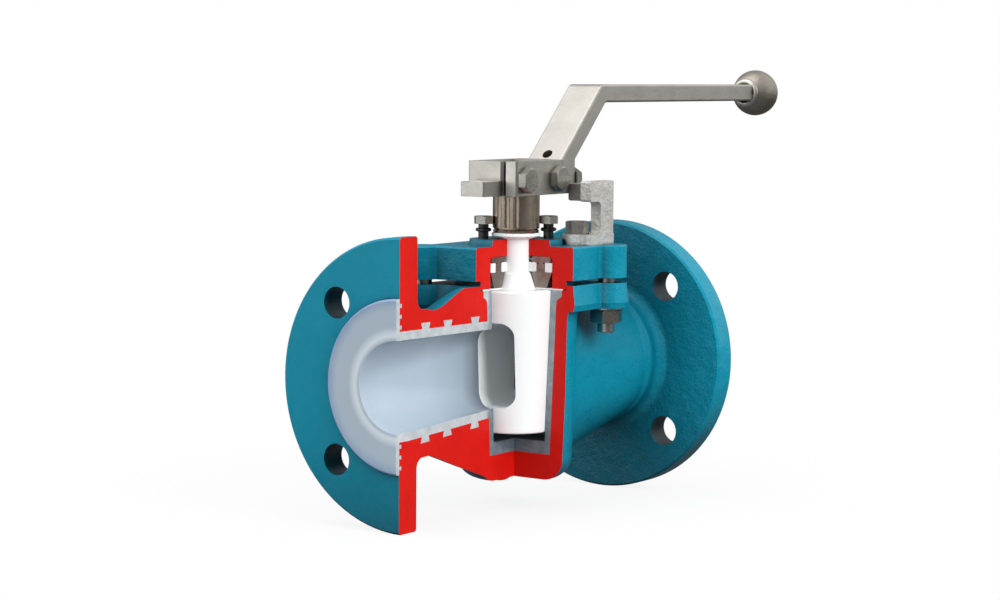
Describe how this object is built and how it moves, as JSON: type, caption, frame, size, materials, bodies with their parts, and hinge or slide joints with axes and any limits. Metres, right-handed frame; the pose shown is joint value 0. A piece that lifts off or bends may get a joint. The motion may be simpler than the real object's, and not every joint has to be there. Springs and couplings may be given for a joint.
{
  "type": "plug valve",
  "caption": "Lined quarter-turn plug valve with flanged ends and a cranked lever, its casings cut open over one quarter to show plug, lining and stem seal.",
  "frame": {"origin": "centre of the outlet flange's metal face, on the bore axis", "axes": "+X out of the outlet flange along the flow, +Z along the stem towards the lever, +Y to the side away from the cut"},
  "size_m": [0.4152, 0.165, 0.2581],
  "materials": {
    "teal_casting": "gloss paint over a rough casting, cut faces red",
    "liner_polymer": "smooth translucent moulding",
    "white_polymer": "smooth turned polymer",
    "inner_steel": "turned",
    "bracket_casting": "rough as cast",
    "polished_steel": "polished",
    "lever_steel": "satin, blasted",
    "fastener_steel": "plain stainless"
  },
  "bodies": {
    "valve": {"valve_body": "teal_casting", "body_liner": "liner_polymer", "diaphragm": "white_polymer", "cover": "teal_casting", "thrust_collar": "inner_steel", "packing_rings": "white_polymer", "thrust_ring": "inner_steel", "cover_studs": "fastener_steel", "cover_washers": "fastener_steel", "cover_nuts": "fastener_steel", "stop_bracket": "bracket_casting", "bracket_bolt": "fastener_steel"},
    "plug_and_lever": {"plug_core": "inner_steel", "plug_lining": "white_polymer", "stem_collar": "white_polymer", "stem_coupling": "polished_steel", "coupling_screw": "fastener_steel", "lever_hub": "lever_steel", "clamp_jaw": "lever_steel", "clamp_bolts": "fastener_steel", "lever_bar": "lever_steel", "lever_bolts": "fastener_steel", "knob": "lever_steel"},
    "screw_1": {"adjusting_screw_1": "fastener_steel", "lock_ring_1": "fastener_steel"},
    "screw_2": {"adjusting_screw_2": "fastener_steel", "lock_ring_2": "fastener_steel"},
    "screw_3": {"adjusting_screw_3": "fastener_steel", "lock_ring_3": "fastener_steel"}
  },
  "joints": [
    {"name": "stem_turn", "type": "hinge", "parent": "valve", "child": "plug_and_lever", "pos_m": [-0.112, 0, 0], "axis": [0, 0, 1], "range_deg": [0, 90]},
    {"name": "screw_1_lift", "type": "slide", "parent": "valve", "child": "screw_1", "axis": [0, 0, 1], "range_m": [0, 0.003]},
    {"name": "screw_2_lift", "type": "slide", "parent": "valve", "child": "screw_2", "axis": [0, 0, 1], "range_m": [0, 0.003]},
    {"name": "screw_3_lift", "type": "slide", "parent": "valve", "child": "screw_3", "axis": [0, 0, 1], "range_m": [0, 0.003]}
  ]
}
